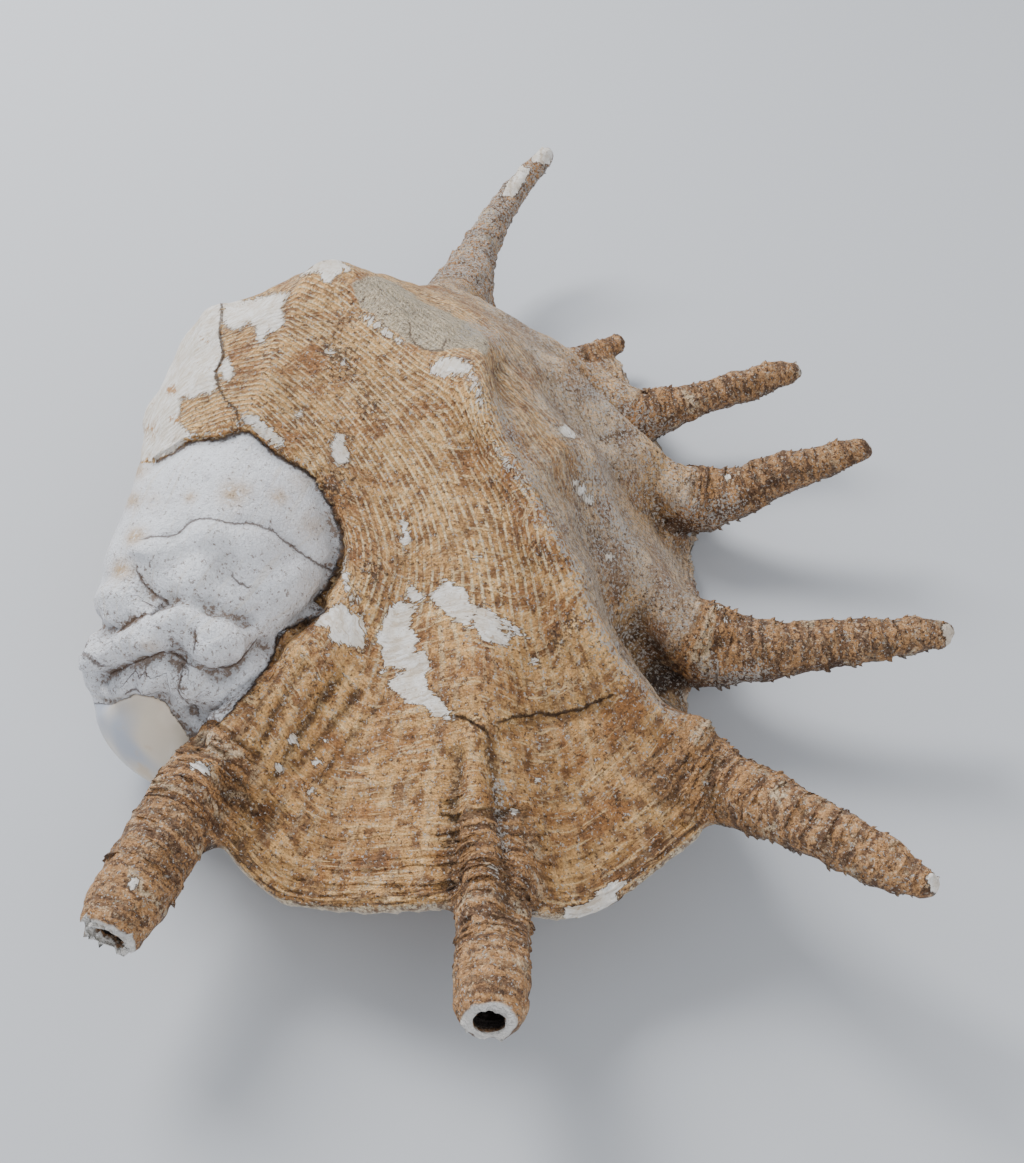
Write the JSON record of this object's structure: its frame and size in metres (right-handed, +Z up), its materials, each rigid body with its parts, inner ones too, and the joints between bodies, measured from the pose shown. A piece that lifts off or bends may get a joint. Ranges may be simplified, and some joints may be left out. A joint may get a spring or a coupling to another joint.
{
  "type": "spider conch shell",
  "caption": "Large sea-snail shell lying aperture down: coiled knobbly body, blunt worn spire, flared lip with hollow curved digits and an upturned siphonal canal.",
  "frame": {"origin": "middle of the shell's box, on the ground it lies on", "axes": "+Y from the spire toward the siphonal canal, +X toward the flared lip, +Z up out of the back of the shell"},
  "size_m": [0.2336, 0.3262, 0.0949],
  "materials": {
    "shell": "matt worn shell: tan-brown skin with chalk-white worn patches, glossy cream inside"
  },
  "bodies": {
    "root": {"shell": "shell"}
  },
  "joints": []
}
